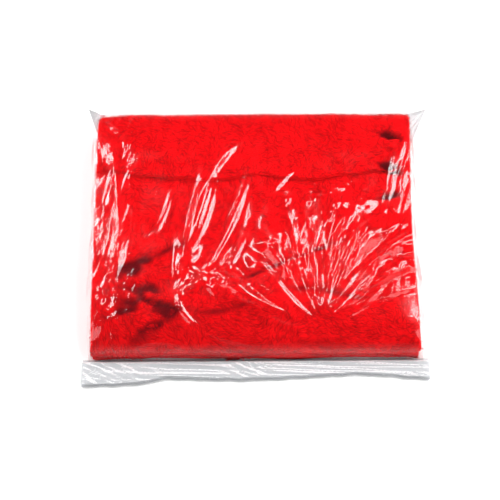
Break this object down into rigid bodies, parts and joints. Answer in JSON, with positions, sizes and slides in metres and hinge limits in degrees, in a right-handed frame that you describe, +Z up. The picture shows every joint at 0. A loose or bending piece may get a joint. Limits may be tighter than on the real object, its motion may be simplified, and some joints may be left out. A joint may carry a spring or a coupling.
{
  "type": "bagged blanket",
  "caption": "Folded soft-pile blanket packed flat in a clear film bag, with a sealed back end and a mouth folded over at the front.",
  "frame": {"origin": "bottom centre of the whole object's box, on the surface that the bag lies on", "axes": "+Z up, +X to the right across the folded blanket's width, +Y from the bag's mouth towards its sealed end"},
  "size_m": [0.536, 0.4594, 0.0869],
  "materials": {
    "film": "gloss",
    "weld": "gloss",
    "pile": "matte"
  },
  "bodies": {
    "bag": {"bag_base_panel": "film", "bag_top_panel": "film", "bag_side_left": "film", "bag_side_right": "film", "bag_back_wall": "film", "bag_front_wall": "film", "bag_end_seal": "weld", "bag_ear_left": "weld", "bag_ear_right": "weld", "mouth_root_lower_ply": "film", "mouth_root_upper_ply": "film"},
    "blanket": {"blanket_layer_1": "pile", "blanket_layer_2": "pile", "blanket_layer_3": "pile", "blanket_layer_4": "pile", "blanket_layer_5": "pile", "blanket_top_flap": "pile", "blanket_back_turn_1": "pile", "blanket_front_turn_2": "pile", "blanket_back_turn_3": "pile", "blanket_front_turn_4": "pile", "blanket_back_turn_5": "pile"},
    "mouth_flap": {"mouth_flap_lower_ply": "film", "mouth_flap_upper_ply": "film"},
    "mouth_tip": {"mouth_tip_lower_ply": "film", "mouth_tip_upper_ply": "film"}
  },
  "joints": [
    {"name": "blanket_slide", "type": "slide", "parent": "bag", "child": "blanket", "axis": [0, -1, 0], "range_m": [0, 0.54], "deforming": ["bag_front_wall", "mouth_root_upper_ply", "mouth_flap_lower_ply", "mouth_flap_upper_ply", "mouth_tip_lower_ply", "mouth_tip_upper_ply"]},
    {"name": "mouth_unfold", "type": "hinge", "parent": "bag", "child": "mouth_flap", "pos_m": [0, -0.2298, 0.00245], "axis": [1, 0, 0], "range_deg": [0, 180]},
    {"name": "mouth_tip_unfold", "type": "hinge", "parent": "mouth_flap", "child": "mouth_tip", "pos_m": [0, -0.1895, 0.00505], "axis": [1, 0, 0], "range_deg": [-180, 0]}
  ],
  "couplings": [
    {"joint": "mouth_tip_unfold", "follows": "mouth_unfold", "ratio": -1}
  ]
}
